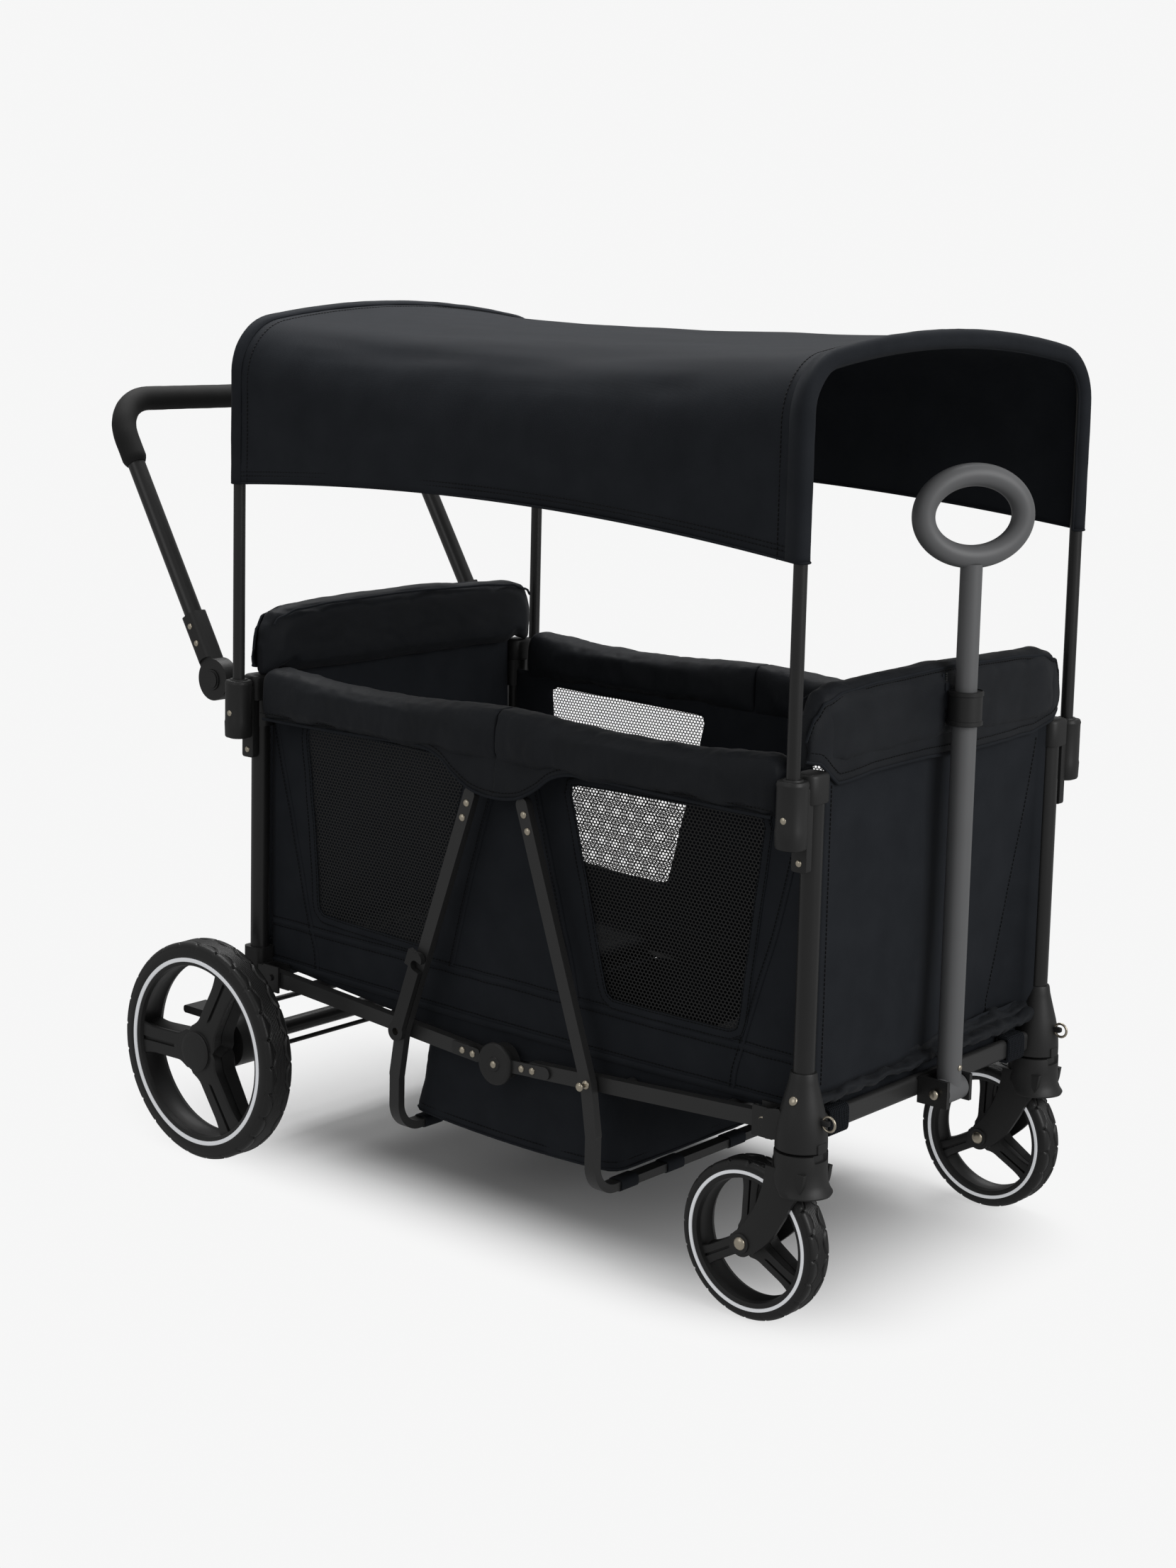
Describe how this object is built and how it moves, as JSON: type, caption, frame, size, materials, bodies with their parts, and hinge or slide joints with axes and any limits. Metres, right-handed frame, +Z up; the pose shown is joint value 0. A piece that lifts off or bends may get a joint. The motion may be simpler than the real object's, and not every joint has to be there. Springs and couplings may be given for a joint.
{
  "type": "folding kids pull wagon",
  "caption": "Folding pull wagon with a canopy, padded rims, mesh sides, swivelling front wheels, a telescopic pull handle and a reclining push handle.",
  "frame": {"origin": "middle of the wagon's footprint box, on the floor", "axes": "+Z up, -Y towards the front (pull handle end), +X towards the wagon's left"},
  "size_m": [0.687, 1.2335, 1.0894],
  "materials": {
    "steel_black": "satin powder coat",
    "tube_dark": "satin powder coat, charcoal",
    "plastic_charcoal": "fine textured matt",
    "fabric_black": "woven polyester with a soft sheen",
    "mesh_black": "open knit mesh",
    "foam_black": "soft foam",
    "tyre_black": "matt",
    "ring_white": "reflective band",
    "zinc": "yellow zinc"
  },
  "bodies": {
    "front_frame": {"front_posts": "steel_black", "front_socket_left": "plastic_charcoal", "front_socket_right": "plastic_charcoal", "front_crossbar": "tube_dark", "crossbar_straps": "fabric_black", "socket_rings": "zinc", "front_rail_brackets": "steel_black", "handle_clevis": "steel_black", "front_rod_sockets": "plastic_charcoal", "front_hoop": "steel_black", "front_cover": "fabric_black", "front_panel": "fabric_black", "canopy": "fabric_black", "side_panels": "fabric_black"},
    "front_rails": {"front_rails": "tube_dark", "front_board": "fabric_black"},
    "rear_rails": {"rear_rails": "tube_dark", "rear_board": "fabric_black"},
    "rear_frame": {"rear_posts": "steel_black", "rear_brackets": "plastic_charcoal", "rear_axle": "steel_black", "rear_rail_brackets": "steel_black", "brake_cable": "steel_black", "rear_rod_sockets": "plastic_charcoal", "rear_hoop": "steel_black", "rear_cover": "fabric_black", "rear_panel": "fabric_black", "handle_brackets": "steel_black"},
    "front_arms": {"front_u_frame": "tube_dark", "front_arm_bolts": "zinc", "footwell": "fabric_black"},
    "rear_arms": {"rear_u_frame": "tube_dark", "rear_arm_bolts": "zinc"},
    "latch_hook": {"latch_hook": "plastic_charcoal"},
    "upper_front": {"upper_front_rails": "steel_black", "front_rims": "fabric_black"},
    "upper_rear": {"upper_rear_rails": "steel_black", "rear_rims": "fabric_black"},
    "brake": {"brake_pedals": "plastic_charcoal"},
    "push_handle": {"push_tube": "steel_black", "push_grip": "foam_black", "push_hubs": "plastic_charcoal"},
    "push_button_left": {"push_button_left": "plastic_charcoal"},
    "push_button_right": {"push_button_right": "plastic_charcoal"},
    "pull_handle": {"pull_tube": "tube_dark", "pull_collar": "plastic_charcoal"},
    "pull_inner": {"pull_upper_tube": "tube_dark", "pull_grip": "plastic_charcoal"},
    "caster_left": {"fork_left": "plastic_charcoal"},
    "caster_right": {"fork_right": "plastic_charcoal"},
    "front_wheel_left": {"front_tyre_left": "tyre_black", "front_rim_left": "plastic_charcoal"},
    "front_wheel_right": {"front_tyre_right": "tyre_black", "front_rim_right": "plastic_charcoal"},
    "rear_wheel_left": {"rear_tyre_left": "tyre_black", "rear_rim_left": "plastic_charcoal"},
    "rear_wheel_right": {"rear_tyre_right": "tyre_black", "rear_rim_right": "plastic_charcoal"}
  },
  "joints": [
    {"name": "fold", "type": "hinge", "parent": "front_frame", "child": "front_rails", "pos_m": [0, -0.502, 0.23], "axis": [1, 0, 0], "range_deg": [0, 76], "deforming": ["canopy", "side_panels"]},
    {"name": "centre_fold", "type": "hinge", "parent": "front_rails", "child": "rear_rails", "pos_m": [0, -0.1095, 0.205], "axis": [1, 0, 0], "range_deg": [-152, 0]},
    {"name": "rear_fold", "type": "hinge", "parent": "rear_rails", "child": "rear_frame", "pos_m": [0, 0.283, 0.23], "axis": [1, 0, 0], "range_deg": [0, 76]},
    {"name": "front_arm_fold", "type": "hinge", "parent": "front_rails", "child": "front_arms", "pos_m": [0, -0.2585, 0.216], "axis": [1, 0, 0], "range_deg": [-60.8, 0], "deforming": ["footwell"]},
    {"name": "rear_arm_fold", "type": "hinge", "parent": "rear_rails", "child": "rear_arms", "pos_m": [0, 0.0395, 0.216], "axis": [1, 0, 0], "range_deg": [0, 60.8]},
    {"name": "upper_front_fold", "type": "hinge", "parent": "front_frame", "child": "upper_front", "pos_m": [0, -0.502, 0.6], "axis": [1, 0, 0], "range_deg": [0, 76], "deforming": ["front_rims"]},
    {"name": "upper_rear_fold", "type": "hinge", "parent": "rear_frame", "child": "upper_rear", "pos_m": [0, 0.283, 0.6], "axis": [1, 0, 0], "range_deg": [-76, 0], "deforming": ["rear_rims"]},
    {"name": "latch_swing", "type": "hinge", "parent": "rear_arms", "child": "latch_hook", "pos_m": [-0.272, 0.0395, 0.216], "axis": [1, 0, 0], "range_deg": [0, 86]},
    {"name": "brake_press", "type": "hinge", "parent": "rear_frame", "child": "brake", "pos_m": [0, 0.364, 0.168], "axis": [1, 0, 0], "range_deg": [-20, 0]},
    {"name": "push_tilt", "type": "hinge", "parent": "rear_frame", "child": "push_handle", "pos_m": [0, 0.387, 0.604], "axis": [1, 0, 0], "range_deg": [-80, 25]},
    {"name": "push_release_left", "type": "slide", "parent": "push_handle", "child": "push_button_left", "axis": [-1, 0, 0], "range_m": [0, 0.004], "stiffness_N_per_m": 600},
    {"name": "push_release_right", "type": "slide", "parent": "push_handle", "child": "push_button_right", "axis": [1, 0, 0], "range_m": [0, 0.004], "stiffness_N_per_m": 600},
    {"name": "pull_swing", "type": "hinge", "parent": "front_frame", "child": "pull_handle", "pos_m": [0, -0.573, 0.222], "axis": [1, 0, 0], "range_deg": [0, 95]},
    {"name": "pull_extend", "type": "slide", "parent": "pull_handle", "child": "pull_inner", "axis": [0, 0, 1], "range_m": [-0.1, 0.12]},
    {"name": "swivel_left", "type": "hinge", "parent": "front_frame", "child": "caster_left", "pos_m": [0.24, -0.542, 0.203], "axis": [0, 0, 1], "continuous": true},
    {"name": "swivel_right", "type": "hinge", "parent": "front_frame", "child": "caster_right", "pos_m": [-0.24, -0.542, 0.203], "axis": [0, 0, 1], "continuous": true},
    {"name": "front_spin_left", "type": "hinge", "parent": "caster_left", "child": "front_wheel_left", "pos_m": [0.24, -0.485, 0.09], "axis": [1, 0, 0], "continuous": true},
    {"name": "front_spin_right", "type": "hinge", "parent": "caster_right", "child": "front_wheel_right", "pos_m": [-0.24, -0.485, 0.09], "axis": [1, 0, 0], "continuous": true},
    {"name": "rear_spin_left", "type": "hinge", "parent": "rear_frame", "child": "rear_wheel_left", "pos_m": [0.32, 0.332, 0.14], "axis": [1, 0, 0], "continuous": true},
    {"name": "rear_spin_right", "type": "hinge", "parent": "rear_frame", "child": "rear_wheel_right", "pos_m": [-0.32, 0.332, 0.14], "axis": [1, 0, 0], "continuous": true}
  ],
  "couplings": [
    {"joint": "centre_fold", "follows": "fold", "ratio": -2},
    {"joint": "rear_fold", "follows": "fold", "ratio": 1},
    {"joint": "front_arm_fold", "follows": "fold", "ratio": -0.8},
    {"joint": "rear_arm_fold", "follows": "fold", "ratio": 0.8},
    {"joint": "upper_front_fold", "follows": "fold", "ratio": 1},
    {"joint": "upper_rear_fold", "follows": "fold", "ratio": -1}
  ]
}
